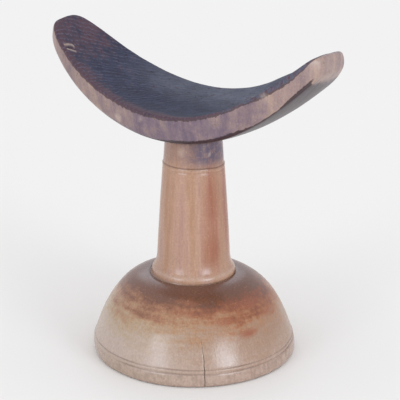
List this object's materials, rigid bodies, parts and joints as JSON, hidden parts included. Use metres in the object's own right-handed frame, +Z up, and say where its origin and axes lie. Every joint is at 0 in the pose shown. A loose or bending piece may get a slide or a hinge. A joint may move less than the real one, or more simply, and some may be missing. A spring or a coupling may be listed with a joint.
{
  "type": "carved headrest",
  "caption": "Carved wooden headrest: a curved, dished head plate on a tapering shaft with a cut collar, over a round domed foot with a lined rim, all one piece.",
  "frame": {"origin": "middle of the flat underside of the foot, on the shaft's axis", "axes": "+Z up along the shaft, +X along the head plate, -Y towards its front edge"},
  "size_m": [0.1614, 0.11, 0.1754],
  "materials": {
    "waxed_wood": "semi-gloss waxed hardwood, worn pinkish tan, with a dark slate patina on the head plate"
  },
  "bodies": {
    "root": {"headrest": "waxed_wood"}
  },
  "joints": []
}
